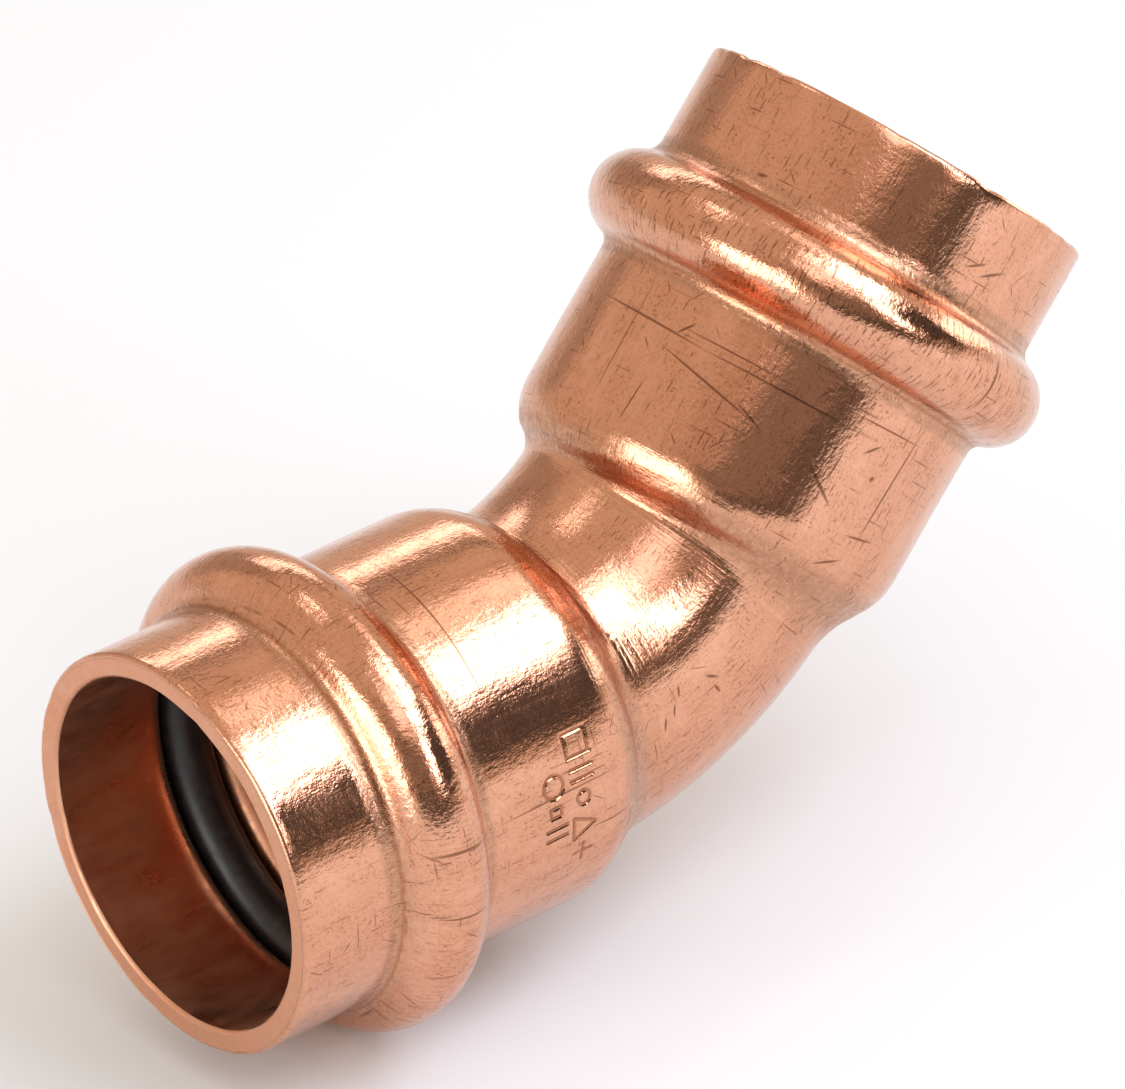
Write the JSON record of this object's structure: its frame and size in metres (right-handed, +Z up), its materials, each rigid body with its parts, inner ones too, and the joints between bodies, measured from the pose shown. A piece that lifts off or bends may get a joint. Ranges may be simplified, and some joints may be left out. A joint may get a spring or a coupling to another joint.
{
  "type": "pipe elbow",
  "caption": "Copper pipe elbow with a 45-degree bend and a beaded press socket at each end holding a rubber O-ring.",
  "frame": {"origin": "centre of the inlet socket's mouth", "axes": "+X along the inlet socket's axis into the fitting, the outlet socket rises at 45 degrees in the XZ plane, +Y across the bend plane, +Z up"},
  "size_m": [0.0673, 0.0306, 0.0484],
  "materials": {
    "copper": "satin drawn copper",
    "seal_rubber": "smooth black rubber"
  },
  "bodies": {
    "root": {"elbow_body": "copper", "inlet_seal_ring": "seal_rubber", "outlet_seal_ring": "seal_rubber"}
  },
  "joints": []
}
